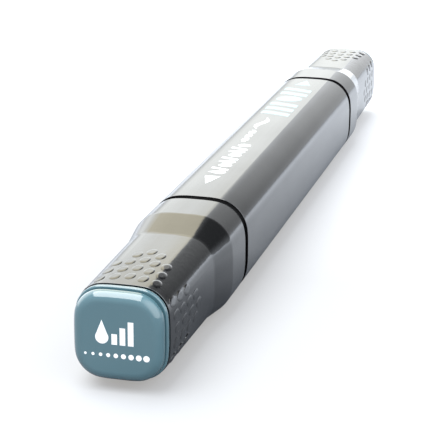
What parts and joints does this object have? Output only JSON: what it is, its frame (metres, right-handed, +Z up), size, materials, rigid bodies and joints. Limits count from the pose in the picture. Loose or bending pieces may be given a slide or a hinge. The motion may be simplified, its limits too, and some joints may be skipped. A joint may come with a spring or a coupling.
{
  "type": "felt tip marker",
  "caption": "Double-ended felt tip marker with a rounded-square barrel, a brush nib and a broad nib, each under a pull-off cap with raised grip dots.",
  "frame": {"origin": "on the surface the marker lies on, under the middle of the barrel", "axes": "+X along the marker from the brush end to the chisel end, +Z up out of the printed side, +Y to the left when looking along +X"},
  "size_m": [0.1536, 0.0144, 0.0145],
  "materials": {
    "grey_plastic": "glossy pewter-grey moulding with a metallic pigment",
    "blue_grey_plastic": "satin blue-grey moulding",
    "black_plastic": "black moulding",
    "soft_white_plastic": "soft translucent white moulding",
    "clear_film": "thin clear film",
    "ink_fibre": "ink-soaked fibre",
    "nib_felt": "ink-soaked felt"
  },
  "bodies": {
    "barrel": {"barrel_shell": "grey_plastic", "ink_reservoir": "ink_fibre", "reservoir_film": "clear_film", "brush_nib_holder": "black_plastic", "chisel_nib_holder": "black_plastic", "brush_nib": "nib_felt", "chisel_nib": "nib_felt"},
    "brush_cap": {"brush_cap_shell": "grey_plastic", "brush_cap_seal": "soft_white_plastic", "brush_cap_plug": "blue_grey_plastic"},
    "chisel_cap": {"chisel_cap_shell": "grey_plastic", "chisel_cap_seal": "soft_white_plastic", "chisel_cap_plug": "blue_grey_plastic"}
  },
  "joints": [
    {"name": "brush_cap_slide", "type": "slide", "parent": "barrel", "child": "brush_cap", "axis": [-1, 0, 0], "range_m": [0, 0.04]},
    {"name": "chisel_cap_slide", "type": "slide", "parent": "barrel", "child": "chisel_cap", "axis": [1, 0, 0], "range_m": [0, 0.04]}
  ]
}
